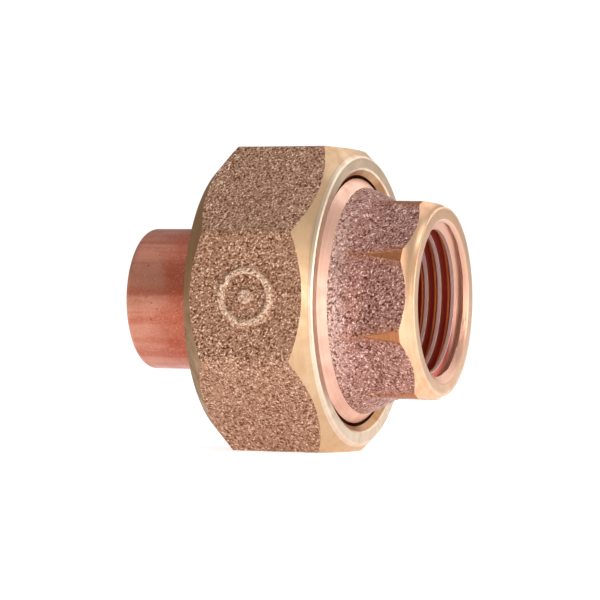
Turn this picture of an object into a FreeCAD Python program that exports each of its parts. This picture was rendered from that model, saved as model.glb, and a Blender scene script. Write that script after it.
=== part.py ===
"""Flat-seat pipe union: copper solder tail, captive octagon nut and female-thread adapter.

Every sub-part is turned about its own X axis. Its local origin is the face that points
towards the pipe-thread end (+X), and its Placement sets that face on the common axis.
"""

import FreeCAD
import Part
import Sketcher
import math
import os

DIMENSIONS = {
    # Octagon union nut, measured back from its front face
    "nut_flats": 39.4,
    "nut_length": 17.6,
    "nut_setback": 11.1,
    "nut_front_r": 18.85,
    "nut_cone_depth": 2.75,
    "nut_back_r": 18.3,
    "nut_mouth_r": 17.2,
    "nut_recess_r": 16.4,
    "nut_recess_depth": 3.2,
    "nut_thread_end": 10.8,
    "nut_relief_r": 16.3,
    "nut_lip": 3.0,
    "nut_edge": 0.4,
    "mark_ring_r": 3.7,
    "mark_ring_width": 0.9,
    "mark_pip_r": 1.0,
    "mark_height": 0.4,
    "mark_from_front": 8.6,
    # Union thread between the nut and the adapter, M32 x 1.5
    "union_pitch": 1.5,
    "union_major_r": 15.95,
    "union_root_r": 15.03,
    "nut_minor_r": 15.19,
    "nut_major_r": 16.1,
    "flank_gap": 0.115,
    # Adapter, measured back from its end face
    "adapter_length": 20.6,
    "wrench_flats": 25.3,
    "wrench_turn": 2.0,
    "wrench_length": 9.0,
    "end_face_r": 12.25,
    "end_chamfer": 1.35,
    "skim_r": 13.38,
    "skim_end": 7.0,
    "shoulder_end": 6.6,
    "shoulder_end_r": 12.5,
    "shoulder_arc_r": 9.0,
    "shoulder_start": 10.7,
    "shoulder_r": 14.74,
    "collar_start": 11.9,
    "collar_end": 13.0,
    "undercut_end": 14.8,
    "undercut_r": 14.9,
    "thread_lead": 0.8,
    # Female pipe thread, 1/2 parallel: the bore is the crest cylinder
    "pipe_crest_r": 9.316,
    "pipe_mouth_r": 10.6,
    "pipe_thread_end": 12.5,
    "waterway_r": 7.5,
    "waterway_start": 14.3,
    # Packing ring
    "gasket_thickness": 1.8,
    "gasket_outer_r": 14.6,
    "gasket_inner_r": 8.4,
    # Bronze collar brazed to the copper tail, measured back from its seat
    "seat_thickness": 3.25,
    "seat_r": 14.9,
    "seat_bore_r": 7.1,
    "seat_web": 1.6,
    "hub_r": 11.25,
    "hub_clearance": 0.1,
    "hub_end": 6.9,
    # Copper tail for 15.88 tube
    "tail_length": 17.0,
    "tail_r": 9.35,
    "socket_r": 7.975,
    "tail_round": 0.8,
    "socket_edge": 0.4,
    # Brazing fillet behind the collar's hub
    "braze_leg": 1.0,
}

OCTAGON_SIDES = 8
HALF_SIDE = math.radians(180 / OCTAGON_SIDES)
CORNER_PER_FLATS = 0.5 / math.cos(HALF_SIDE)
THREAD_FLANK = math.tan(math.radians(30))
# Half of a 60 degree ridge's crest flat, as a share of the pitch
CREST_SHARE = 1 / 16
# The nut's groove starts this many pitches in front of the adapter's union face,
# half a pitch out of step with the adapter's own groove, so ridge meets groove.
NUT_GROOVE_LEAD = 5.5
# A turned corner cut reaches this share past the corner's own height
BEYOND_CORNER = 1.3
# How far each thread tool reaches past the crest that it opens
THREAD_OVERCUT = 0.1
# The foundry mark is rooted this deep in the nut's flat
MARK_ROOT = 0.2


class Size:
    """A length held both as a spreadsheet expression and as its present value."""

    def __init__(self, text, value):
        self.text = text
        self.value = value

    def _with(self, sign, other, value):
        text = other.text if isinstance(other, Size) else repr(float(other))
        return Size(f"({self.text} {sign} {text})", value)

    def __add__(self, other):
        return self._with("+", other, self.value + number(other))

    def __sub__(self, other):
        return self._with("-", other, self.value - number(other))

    def __mul__(self, other):
        return self._with("*", other, self.value * number(other))

    def __neg__(self):
        return self * -1


ZERO = Size("0", 0)


def number(size):
    """The present value of a Size or a plain number."""
    return size.value if isinstance(size, Size) else float(size)


def expression(size):
    """The expression text of a Size or a plain number."""
    return size.text if isinstance(size, Size) else repr(float(size))


def make_sheet(doc):
    """Write the driving dimensions into a spreadsheet and return them as Sizes."""
    sheet = doc.addObject("Spreadsheet::Sheet", "dims")
    sizes = {}
    for row, (alias, value) in enumerate(DIMENSIONS.items(), start=1):
        sheet.set(f"A{row}", alias)
        sheet.set(f"B{row}", str(value))
        sheet.setAlias(f"B{row}", alias)
        sizes[alias] = Size(f"dims.{alias}", value)
    doc.recompute()
    return sizes


def make_body(doc, node, x):
    """Start a body that is placed at x on the common axis."""
    body = doc.addObject("PartDesign::Body", node)
    body.Label = node
    body.setExpression("Placement.Base.x", expression(x))
    return body


def origin_feature(body, role):
    """The body's own plane or axis with this role."""
    return next(f for f in body.Origin.OriginFeatures if f.Role == role)


def new_sketch(body, name, plane, lift=None):
    """An empty sketch on one of the body's origin planes, lifted along its normal."""
    sketch = body.newObject("Sketcher::SketchObject", name)
    sketch.AttachmentSupport = [(origin_feature(body, plane), "")]
    sketch.MapMode = "FlatFace"
    if lift is not None:
        sketch.setExpression("AttachmentOffset.Base.z", expression(lift))
    return sketch


def bind(sketch, kind, *where, size):
    """Add one constraint whose datum follows the spreadsheet."""
    index = sketch.addConstraint(Sketcher.Constraint(kind, *where, number(size)))
    if isinstance(size, Size):
        sketch.setExpression(f"Constraints[{index}]", size.text)


def arc_between(start, end, radius):
    """The shorter arc from start to end, bulging to the right of the way between them."""
    chord = end - start
    middle = (start + end) * 0.5
    left = FreeCAD.Vector(-chord.y, chord.x, 0).normalize()
    rise = math.sqrt(radius**2 - (chord.Length / 2) ** 2)
    centre = middle + left * rise
    through = centre - left * radius
    return Part.Arc(start, through, end)


def outline(body, name, plane, corners, lift=None, arcs=()):
    """A closed sketch through corners (pairs of Sizes). arcs maps an edge's index to its radius."""
    sketch = new_sketch(body, name, plane, lift)
    arcs = dict(arcs)
    points = [FreeCAD.Vector(number(x), number(y), 0) for x, y in corners]
    for i, start in enumerate(points):
        end = points[(i + 1) % len(points)]
        if i in arcs:
            sketch.addGeometry(arc_between(start, end, number(arcs[i])), False)
        else:
            sketch.addGeometry(Part.LineSegment(start, end), False)
    # FreeCAD keeps arcs counter-clockwise, so a point's own end number depends on its edge.
    ends = [edge_ends(sketch.Geometry[i], points[i]) for i in range(len(points))]
    for i, (x, y) in enumerate(corners):
        after = (i + 1) % len(corners)
        joint = Sketcher.Constraint("Coincident", i, ends[i][1], after, ends[after][0])
        sketch.addConstraint(joint)
        bind(sketch, "DistanceX", -1, 1, i, ends[i][0], size=x)
        bind(sketch, "DistanceY", -1, 1, i, ends[i][0], size=y)
    for i, radius in arcs.items():
        bind(sketch, "Radius", i, size=radius)
    return sketch


def edge_ends(edge, start):
    """Which of the edge's point numbers is its start in the outline, and which its end."""
    nearer = (edge.StartPoint - start).Length < (edge.EndPoint - start).Length
    return (1, 2) if nearer else (2, 1)


def octagon(body, name, flats, turn, lift):
    """An octagon across the body's X axis, its flats facing front, back, up and down."""
    corners = []
    for k in range(OCTAGON_SIDES):
        angle = HALF_SIDE * (2 * k + 1) + math.radians(turn)
        corners.append((flats * (-CORNER_PER_FLATS * math.cos(angle)),
                        flats * (CORNER_PER_FLATS * math.sin(angle))))
    return outline(body, name, "YZ_Plane", corners, lift)


def circles(body, name, plane, radii, x, lift):
    """A sketch of circles about one centre at x on the plane's first axis."""
    sketch = new_sketch(body, name, plane, lift)
    for i, radius in enumerate(radii):
        centre = FreeCAD.Vector(number(x), 0, 0)
        sketch.addGeometry(Part.Circle(centre, FreeCAD.Vector(0, 0, 1), number(radius)), False)
        bind(sketch, "DistanceX", -1, 1, i, 3, size=x)
        bind(sketch, "DistanceY", -1, 1, i, 3, size=0)
        bind(sketch, "Radius", i, size=radius)
    return sketch


def pad(body, name, sketch, length, backwards=False):
    """Add the sketch's area, pushed out by length."""
    feature = body.newObject("PartDesign::Pad", name)
    feature.Profile = sketch
    feature.Reversed = backwards
    feature.setExpression("Length", expression(length))
    return feature


def turned(body, kind, name, corners, arcs=()):
    """Add (Revolution) or cut (Groove) the area inside corners, turned about the X axis."""
    sketch = outline(body, f"{name}_outline", "XZ_Plane", corners, arcs=arcs)
    feature = body.newObject(f"PartDesign::{kind}", name)
    feature.Profile = sketch
    feature.ReferenceAxis = (origin_feature(body, "X_Axis"), [""])
    feature.Angle = 360
    return feature


def screw_cut(body, name, corners, pitch, length, forwards):
    """Cut the groove section inside corners along a right-handed helix about the X axis."""
    sketch = outline(body, f"{name}_section", "XZ_Plane", corners)
    body.Document.recompute()
    feature = body.newObject("PartDesign::SubtractiveHelix", name)
    feature.Profile = sketch
    feature.ReferenceAxis = (origin_feature(body, "X_Axis"), [""])
    feature.Mode = "pitch-height-angle"
    feature.setExpression("Pitch", expression(pitch))
    feature.setExpression("Height", expression(length))
    feature.Angle = 0
    feature.Reversed = not forwards
    return feature


def groove_section(x, root_r, root_half, open_r, open_half):
    """The four corners of a thread groove's section centred on x."""
    return [
        (x - open_half, open_r),
        (x - root_half, root_r),
        (x + root_half, root_r),
        (x + open_half, open_r),
    ]


def ridge_half_width(d, radius):
    """Half the axial width of the adapter's thread ridge at a radius, crest flat P/8."""
    return d["union_pitch"] * CREST_SHARE + (d["union_major_r"] - radius) * THREAD_FLANK


def make_nut(doc, d, x):
    """Cast octagon nut: coned front, chamfered back, inner thread and a lip behind."""
    body = make_body(doc, "union_nut", x)
    blank = octagon(body, "nut_octagon", d["nut_flats"], 0, ZERO)
    pad(body, "nut_blank", blank, d["nut_length"], backwards=True)

    corner = d["nut_flats"] * CORNER_PER_FLATS
    cone_rise = (corner - d["nut_front_r"]) * BEYOND_CORNER
    cone_run = d["nut_cone_depth"] * BEYOND_CORNER
    turned(body, "Groove", "nut_front_cone", [
        (ZERO, d["nut_front_r"]),
        (-cone_run, d["nut_front_r"] + cone_rise),
        (ZERO, d["nut_front_r"] + cone_rise),
    ])
    back_rise = (corner - d["nut_back_r"]) * BEYOND_CORNER
    turned(body, "Groove", "nut_back_chamfer", [
        (-d["nut_length"], d["nut_back_r"]),
        (-d["nut_length"], d["nut_back_r"] + back_rise),
        (-d["nut_length"] + back_rise, d["nut_back_r"] + back_rise),
    ])

    lip_bore = d["hub_r"] + d["hub_clearance"]
    lip_face = -d["nut_length"] + d["nut_lip"]
    thread_lead = d["nut_recess_r"] - d["nut_minor_r"]
    relief_lead = d["nut_relief_r"] - d["nut_minor_r"]
    turned(body, "Groove", "nut_bore", [
        (ZERO, ZERO),
        (ZERO, d["nut_mouth_r"]),
        (d["nut_recess_r"] - d["nut_mouth_r"], d["nut_recess_r"]),
        (-d["nut_recess_depth"], d["nut_recess_r"]),
        (-d["nut_recess_depth"] - thread_lead, d["nut_minor_r"]),
        (-d["nut_thread_end"], d["nut_minor_r"]),
        (-d["nut_thread_end"] - relief_lead, d["nut_relief_r"]),
        (lip_face, d["nut_relief_r"]),
        (lip_face, lip_bore + d["nut_edge"]),
        (lip_face - d["nut_edge"], lip_bore),
        (-d["nut_length"] + d["nut_edge"], lip_bore),
        (-d["nut_length"], lip_bore + d["nut_edge"]),
        (-d["nut_length"], ZERO),
    ])

    # Wider than the adapter's ridge by the flank gap, and open past the crest
    open_r = d["nut_minor_r"] - THREAD_OVERCUT
    groove_x = d["nut_setback"] - d["adapter_length"] + d["union_pitch"] * NUT_GROOVE_LEAD
    root_half = ridge_half_width(d, d["nut_major_r"]) + d["flank_gap"]
    open_half = ridge_half_width(d, open_r) + d["flank_gap"]
    section = groove_section(groove_x, d["nut_major_r"], root_half, open_r, open_half)
    screw_cut(body, "nut_thread", section, d["union_pitch"],
              d["nut_thread_end"] + groove_x + d["union_pitch"], forwards=False)

    # Raised foundry mark on the front flat: a ring with a pip in its middle
    root = d["nut_flats"] * 0.5 - MARK_ROOT
    rise = d["mark_height"] + MARK_ROOT
    ring = circles(body, "mark_ring_outline", "XZ_Plane",
                   [d["mark_ring_r"], d["mark_ring_r"] - d["mark_ring_width"]],
                   -d["mark_from_front"], root)
    pad(body, "mark_ring", ring, rise)
    pip = circles(body, "mark_pip_outline", "XZ_Plane", [d["mark_pip_r"]],
                  -d["mark_from_front"], root)
    pad(body, "mark_pip", pip, rise)
    return body


def make_adapter(doc, d, x):
    """Cast adapter: octagon wrench section, shoulder, collar and male union thread."""
    body = make_body(doc, "adapter_body", x)
    turn = d["wrench_turn"].value
    blank = octagon(body, "wrench_octagon", d["wrench_flats"], turn, ZERO)
    pad(body, "wrench_blank", blank, d["wrench_length"], backwards=True)
    corner = d["wrench_flats"] * CORNER_PER_FLATS
    outside = corner * BEYOND_CORNER
    turned(body, "Groove", "wrench_corners", [
        (ZERO, d["end_face_r"]),
        (-d["end_chamfer"], d["skim_r"]),
        (-d["skim_end"], corner),
        (-d["skim_end"], outside),
        (ZERO, outside),
    ])

    union_face = -d["adapter_length"]
    turned(body, "Revolution", "union_end", [
        (-d["shoulder_end"], ZERO),
        (-d["shoulder_end"], d["shoulder_end_r"]),
        (-d["shoulder_start"], d["shoulder_r"]),
        (-d["collar_start"], d["union_major_r"]),
        (-d["collar_end"], d["union_major_r"]),
        (-d["collar_end"], d["undercut_r"]),
        (-d["undercut_end"], d["undercut_r"]),
        (-d["undercut_end"], d["union_major_r"]),
        (union_face + d["thread_lead"], d["union_major_r"]),
        (union_face, d["union_major_r"] - d["thread_lead"]),
        (union_face, ZERO),
    ], arcs={1: d["shoulder_arc_r"]})

    turned(body, "Groove", "pipe_bore", [
        (ZERO, ZERO),
        (ZERO, d["pipe_mouth_r"]),
        (d["pipe_crest_r"] - d["pipe_mouth_r"], d["pipe_crest_r"]),
        (-d["pipe_thread_end"], d["pipe_crest_r"]),
        (-d["waterway_start"], d["waterway_r"]),
        (union_face, d["waterway_r"]),
        (union_face, ZERO),
    ])

    # A 60 degree groove, opened a little past the crest so that the cut is clean
    open_r = d["union_major_r"] + THREAD_OVERCUT
    groove_x = union_face - d["union_pitch"]
    root_half = d["union_pitch"] * 0.5 - ridge_half_width(d, d["union_root_r"])
    open_half = d["union_pitch"] * 0.5 - ridge_half_width(d, open_r)
    section = groove_section(groove_x, d["union_root_r"], root_half, open_r, open_half)
    middle_of_undercut = (d["collar_end"] + d["undercut_end"]) * 0.5
    screw_cut(body, "adapter_thread", section, d["union_pitch"],
              d["adapter_length"] + d["union_pitch"] - middle_of_undercut, forwards=True)
    return body


def make_gasket(doc, d, x):
    """Flat packing ring between the collar's seat and the adapter's union face."""
    body = make_body(doc, "gasket", x)
    turned(body, "Revolution", "packing_ring", [
        (ZERO, d["gasket_inner_r"]),
        (ZERO, d["gasket_outer_r"]),
        (-d["gasket_thickness"], d["gasket_outer_r"]),
        (-d["gasket_thickness"], d["gasket_inner_r"]),
    ])
    return body


def make_collar(doc, d, x):
    """Bronze seat and hub: the nut's lip turns on the hub and pulls on the seat."""
    body = make_body(doc, "tail_collar", x)
    turned(body, "Revolution", "seat_and_hub", [
        (ZERO, d["seat_bore_r"]),
        (ZERO, d["seat_r"] - d["nut_edge"]),
        (-d["nut_edge"], d["seat_r"]),
        (-d["seat_thickness"], d["seat_r"]),
        (-d["seat_thickness"], d["hub_r"]),
        (-d["hub_end"], d["hub_r"]),
        (-d["hub_end"], d["tail_r"]),
        (-d["seat_web"], d["tail_r"]),
        (-d["seat_web"], d["seat_bore_r"]),
    ])
    return body


def make_tail(doc, d, x):
    """Copper tube with a solder socket, its outer rim rounded."""
    body = make_body(doc, "copper_tail", x)
    end = -d["tail_length"]
    turned(body, "Revolution", "tube", [
        (ZERO, d["socket_r"]),
        (ZERO, d["tail_r"]),
        (end + d["tail_round"], d["tail_r"]),
        (end, d["tail_r"] - d["tail_round"]),
        (end, d["socket_r"] + d["socket_edge"]),
        (end + d["socket_edge"], d["socket_r"]),
    ], arcs={2: d["tail_round"]})
    return body


def make_braze(doc, d, x):
    """Brazing fillet in the corner between the tail and the back of the hub."""
    body = make_body(doc, "braze_fillet", x)
    turned(body, "Revolution", "fillet_ring", [
        (ZERO, d["tail_r"]),
        (ZERO, d["tail_r"] + d["braze_leg"]),
        (-d["braze_leg"], d["tail_r"]),
    ])
    return body


def export(doc, bodies):
    """Stop on anything that failed to compute, then write one STEP file a sub-part."""
    for item in doc.Objects:
        if {"Invalid", "Error"} & set(item.State):
            raise RuntimeError(f"{item.Name} failed: {item.State}")
    os.makedirs("parts", exist_ok=True)
    for body in bodies:
        shape = body.Shape
        if shape.isNull() or not shape.isValid() or len(shape.Solids) != 1:
            raise RuntimeError(f"{body.Label} is not one valid solid")
        box = shape.BoundBox
        print(f"{body.Label}: {shape.Volume:.1f} mm3, x {box.XMin:.2f} to {box.XMax:.2f}")
        shape.exportStep(f"parts/{body.Label}.step")


def main():
    """Build the six sub-parts on the common axis and write them."""
    doc = FreeCAD.newDocument("pipe_union")
    d = make_sheet(doc)
    end_face = d["pipe_mouth_r"] - d["pipe_crest_r"]
    gasket_face = end_face - d["adapter_length"]
    seat_face = gasket_face - d["gasket_thickness"]
    bodies = [
        make_adapter(doc, d, end_face),
        make_nut(doc, d, end_face - d["nut_setback"]),
        make_gasket(doc, d, gasket_face),
        make_collar(doc, d, seat_face),
        make_tail(doc, d, seat_face - d["seat_web"]),
        make_braze(doc, d, seat_face - d["hub_end"]),
    ]
    doc.recompute()
    export(doc, bodies)


main()
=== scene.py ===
"""Looks for a flat-seat pipe union: cast nut and adapter, copper tail, collar and packing.

Each casting is one closed shell of rings about the X axis. A Geometry Nodes tree then cuts
its screw threads, roughens its cast skin and gives each zone its finish.

The pieces' fields are in mm, and distances along a piece run back from its front face.
Finishes and everything handed to Blender are in metres.
"""
import logging
import math
from dataclasses import dataclass, field
from enum import Enum, IntEnum
from typing import ClassVar

import bpy
import numpy as np
from mathutils import Matrix, Vector


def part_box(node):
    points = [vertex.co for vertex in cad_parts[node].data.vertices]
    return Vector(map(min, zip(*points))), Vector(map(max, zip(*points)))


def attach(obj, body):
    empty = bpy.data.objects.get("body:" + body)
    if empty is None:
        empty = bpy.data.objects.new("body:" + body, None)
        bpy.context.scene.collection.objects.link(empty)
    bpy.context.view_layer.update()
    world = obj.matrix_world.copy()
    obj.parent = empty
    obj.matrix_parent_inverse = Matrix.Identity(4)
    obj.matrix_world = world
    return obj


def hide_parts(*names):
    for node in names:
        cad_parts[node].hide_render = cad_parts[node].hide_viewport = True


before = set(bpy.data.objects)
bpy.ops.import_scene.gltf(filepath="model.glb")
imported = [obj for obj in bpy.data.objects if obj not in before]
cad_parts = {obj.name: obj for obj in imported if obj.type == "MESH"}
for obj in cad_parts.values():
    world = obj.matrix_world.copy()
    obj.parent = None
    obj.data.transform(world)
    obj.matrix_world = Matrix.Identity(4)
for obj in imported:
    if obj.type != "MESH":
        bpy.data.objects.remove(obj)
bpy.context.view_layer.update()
MM = 0.001
TURN = 2 * math.pi
SIDES = 8
HALF_SIDE = math.pi / SIDES
SHARP_ANGLE = math.radians(17)
log = logging.getLogger("pipe_union")

Colour = tuple[float, float, float]
Profile = float | np.ndarray


class Zone(IntEnum):
    """The surfaces of a casting that are finished differently."""

    CAST = 0
    TURNED = 1
    BORE = 2
    THREAD = 3
    CHAMFER = 4
    COLLAR = 5
    BACK = 6


class Body(Enum):
    """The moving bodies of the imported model."""

    ADAPTER = "adapter"
    TAIL = "tail"
    NUT = "nut"


def linear(red: int, green: int, blue: int) -> Colour:
    """Turn a display colour of 0 to 255 into the shader's linear colour."""
    return tuple((c / 255) ** 2.2 for c in (red, green, blue))


class Wire:
    """A node socket on which arithmetic adds math nodes."""

    def __init__(self, graph: "Graph", socket: bpy.types.NodeSocket) -> None:
        """Hold the socket and the graph that grows from it."""
        self.graph = graph
        self.socket = socket

    def __add__(self, other: "Wire | float") -> "Wire":
        """Add."""
        return self.graph.math("ADD", self, other)

    def __sub__(self, other: "Wire | float") -> "Wire":
        """Subtract."""
        return self.graph.math("SUBTRACT", self, other)

    def __mul__(self, other: "Wire | float") -> "Wire":
        """Multiply."""
        return self.graph.math("MULTIPLY", self, other)

    def __truediv__(self, other: "Wire | float") -> "Wire":
        """Divide."""
        return self.graph.math("DIVIDE", self, other)

    def __neg__(self) -> "Wire":
        """Change the sign."""
        return self * -1.0

    def __abs__(self) -> "Wire":
        """Drop the sign."""
        return self.graph.math("ABSOLUTE", self)


class Graph:
    """Adds nodes to a shader or geometry tree and links them."""

    def __init__(self, tree: bpy.types.NodeTree) -> None:
        """Start with the tree as it is."""
        self.tree = tree

    def node(self, kind: str, **settings: object) -> bpy.types.Node:
        """Add one node.

        Args:
            kind: The node's type name.
            **settings: Properties to set on it.

        Returns:
            The new node.
        """
        node = self.tree.nodes.new(kind)
        for name, value in settings.items():
            setattr(node, name, value)
        return node

    def plug(self, socket: bpy.types.NodeSocket, value: object) -> None:
        """Link a wire into a socket, or set the socket's own value."""
        if isinstance(value, Wire):
            self.tree.links.new(value.socket, socket)
        elif socket.type == "RGBA":
            socket.default_value = (*value, 1.0)
        else:
            socket.default_value = value

    def out(self, node: bpy.types.Node, name: str | int = 0) -> Wire:
        """The node's output as a wire."""
        return Wire(self, node.outputs[name])

    def math(self, operation: str, *values: Wire | float) -> Wire:
        """Add a math node fed with the values."""
        node = self.node("ShaderNodeMath", operation=operation)
        for socket, value in zip(node.inputs, values):
            self.plug(socket, value)
        return self.out(node)

    def lower(self, a: Wire | float, b: Wire | float) -> Wire:
        """The smaller of the two."""
        return self.math("MINIMUM", a, b)

    def upper(self, a: Wire | float, b: Wire | float) -> Wire:
        """The larger of the two."""
        return self.math("MAXIMUM", a, b)

    def ramp(self, value: Wire, low: float | Wire, high: float | Wire, to_low: float = 0.0,
             to_high: float = 1.0) -> Wire:
        """Ease from to_low to to_high as the value goes from low to high."""
        node = self.node("ShaderNodeMapRange", interpolation_type="SMOOTHSTEP")
        for socket, given in zip(node.inputs, (value, low, high, to_low, to_high)):
            self.plug(socket, given)
        return self.out(node)

    def blend(self, share: Wire | float, a: Wire | Colour, b: Wire | Colour) -> Wire:
        """Mix colour b into colour a by share."""
        node = self.node("ShaderNodeMix", data_type="RGBA")
        self.plug(node.inputs[0], share)
        self.plug(node.inputs[6], a)
        self.plug(node.inputs[7], b)
        return self.out(node, 2)

    def split(self, vector: Wire) -> tuple[Wire, Wire, Wire]:
        """The vector's three parts."""
        node = self.node("ShaderNodeSeparateXYZ")
        self.plug(node.inputs[0], vector)
        return self.out(node, 0), self.out(node, 1), self.out(node, 2)

    def join(self, x: Wire | float, y: Wire | float, z: Wire | float) -> Wire:
        """A vector made of three parts."""
        node = self.node("ShaderNodeCombineXYZ")
        for socket, value in zip(node.inputs, (x, y, z)):
            self.plug(socket, value)
        return self.out(node)

    def noise(self, vector: Wire, size: float | Wire, detail: float = 2.0,
              rough: float = 0.5, seed: float | Wire = 0.0, stretch: float = 0.0) -> Wire:
        """Cloudy noise between 0 and 1.

        Args:
            vector: Where it is read, in metres.
            size: The width of one cloud, in metres.
            detail: How many finer layers it has.
            rough: How strong the finer layers are.
            seed: Which pattern it is.
            stretch: How much it is pulled out of shape.

        Returns:
            The noise as a wire.
        """
        node = self.node("ShaderNodeTexNoise", noise_dimensions="4D")
        scale = self.math("DIVIDE", 1.0, size) if isinstance(size, Wire) else 1.0 / size
        for name, value in (("Vector", vector), ("W", seed), ("Scale", scale),
                            ("Detail", detail), ("Roughness", rough),
                            ("Distortion", stretch)):
            self.plug(node.inputs[name], value)
        return self.out(node, 0)

    def pebbles(self, vector: Wire, size: float) -> Wire:
        """Cell noise: 0 in the middle of each cell, rising to its border."""
        node = self.node("ShaderNodeTexVoronoi", feature="SMOOTH_F1")
        self.plug(node.inputs["Vector"], vector)
        self.plug(node.inputs["Scale"], 1.0 / size)
        return self.out(node, "Distance")

    def stored(self, name: str) -> Wire:
        """The number stored on the piece under the name, for a shader."""
        return self.out(self.node("ShaderNodeAttribute", attribute_name=name), "Fac")

    def step(self, kind: str, flow: Wire, inputs: dict[str, object],
             **settings: object) -> Wire:
        """Pass the geometry through one node.

        Args:
            kind: The node's type name.
            flow: The geometry so far.
            inputs: What its other inputs are fed with, by name.
            **settings: Properties to set on it.

        Returns:
            The geometry after the node.
        """
        node = self.node(kind, **settings)
        self.plug(node.inputs[0], flow)
        for name, value in inputs.items():
            self.plug(node.inputs[name], value)
        return self.out(node)

    def from_axis(self, y: Wire, z: Wire) -> Wire:
        """The distance from the X axis."""
        return self.math("SQRT", y * y + z * z)


class Finish:
    """A metal or packing finish that can be made into a material."""

    name: str

    def make(self) -> bpy.types.Material:
        """Build the material."""
        material = bpy.data.materials.new(self.name)
        material.use_nodes = True
        graph = Graph(material.node_tree)
        place = graph.out(graph.node("ShaderNodeTexCoord"), "Object")
        self.paint(graph, material.node_tree.nodes["Principled BSDF"], place)
        return material

    def paint(self, graph: Graph, shader: bpy.types.Node, place: Wire) -> None:
        """Lay the colours and the relief.

        Args:
            graph: The material's graph.
            shader: Its Principled shader.
            place: The place on the piece.
        """
        raise NotImplementedError

    def dress(self, graph: Graph, shader: bpy.types.Node, colour: Wire, rough: Wire,
              metallic: Wire | float, height: Wire, depth: float) -> None:
        """Feed the shader, and let the height tilt its normal.

        Args:
            graph: The material's graph.
            shader: Its Principled shader.
            colour: The base colour.
            rough: The roughness.
            metallic: How metallic it is.
            height: The relief, 0 to 1.
            depth: How deep a relief of 1 is, in metres.
        """
        graph.plug(shader.inputs["Base Color"], colour)
        graph.plug(shader.inputs["Roughness"], rough)
        graph.plug(shader.inputs["Metallic"], metallic)
        node = graph.node("ShaderNodeBump")
        graph.plug(node.inputs["Height"], height)
        node.inputs["Distance"].default_value = depth
        node.inputs["Strength"].default_value = 1.0
        graph.plug(shader.inputs["Normal"], graph.out(node, "Normal"))


@dataclass(frozen=True)
class CastSkin(Finish):
    """Sand-cast bronze: pits, grains and bright flecks, with cleaned places if asked for.

    Attributes:
        name: The material's name.
        dark: The colour of the pits.
        middle: The colour of most grains.
        light: The pale colour of grain tops and flecks, a painted sparkle highlight, also used
            for other painted highlights.
        grain: The width of a grain, in metres.
        depth: How deep the grain reads, in metres.
        skim: The colour where a cutter has cleaned the casting.
        finer: The width of the finest grains, as a share of a grain's.
        coarser: The width of the pebbles, as a share of a grain's.
        ragged: How far grains shift the edge of a cleaned place, in metres.
        skim_edge: Half the width of that edge, in metres.
        haze: How far a haze of rubbing reaches beyond a cleaned place, in metres.
        tool_lines: How closely the cutter's lines follow one another there.
        dull: The roughness of pits and grains.
        shiny: The roughness of flecks.
    """

    name: str
    dark: Colour
    middle: Colour
    light: Colour
    grain: float = 0.27 * MM
    depth: float = 0.10 * MM
    skim: Colour = linear(186, 122, 84)
    finer: float = 0.55
    coarser: float = 1.25
    ragged: float = 0.16 * MM
    skim_edge: float = 0.05 * MM
    haze: float = 0.55 * MM
    tool_lines: float = 60.0
    dull: float = 0.46
    shiny: float = 0.30

    def paint(self, graph: Graph, shader: bpy.types.Node, place: Wire) -> None:
        """Lay the colours and the relief."""
        coarse = graph.noise(place, self.grain, detail=0.0, seed=3.1, stretch=0.15)
        fine = graph.noise(place, self.grain * self.finer, detail=0.0, seed=8.4)
        cells = graph.pebbles(place, self.grain * self.coarser)
        cloud = graph.noise(place, 5.0 * MM, seed=1.7)
        height = coarse * 0.50 + fine * 0.30 + (cells * -0.25 + 0.18)
        # Flecks: grain tops are blended towards the light colour as a painted sparkle
        # highlight, with lower roughness.
        fleck = graph.ramp(height + (fine - 0.5) * 0.30, 0.52, 0.70)
        colour = graph.blend(graph.ramp(height, 0.30, 0.48), self.dark, self.middle)
        colour = graph.blend(fleck * 0.9, colour, self.light)
        colour = graph.blend(graph.ramp(cloud, 0.35, 0.65) * 0.18, colour, self.middle)
        # Painted highlight: where the stored highlight mask is set, grain tops are blended
        # towards the light colour.
        painted_highlight = graph.stored("highlight_mask") * graph.ramp(height, 0.30, 0.60, 0.15, 0.70)
        colour = graph.blend(painted_highlight, colour, self.light)
        skim = graph.stored("skim")
        ragged = (coarse + fine - 1.0) * self.ragged
        cleaned = graph.ramp(skim + ragged, -self.skim_edge, self.skim_edge)
        x, y, z = graph.split(place)
        tool = graph.join(x * self.tool_lines, y, z)
        lines = graph.noise(tool, 6.0 * MM, detail=3.0, rough=0.6, seed=5.0)
        smooth = graph.blend(graph.ramp(lines, 0.3, 0.7, 0.0, 0.35), self.skim, self.dark)
        haze = graph.ramp(skim + ragged * 2.0, -self.haze, 0.0) * 0.45
        colour = graph.blend(haze, colour, self.skim)
        colour = graph.blend(cleaned, colour, smooth)
        rough = graph.ramp(fleck, 0.0, 1.0, self.dull, self.shiny) - cleaned * 0.04
        relief = height * (cleaned * -0.92 + 1.0)
        self.dress(graph, shader, colour, rough, 1.0, relief, self.depth * 3)


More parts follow.
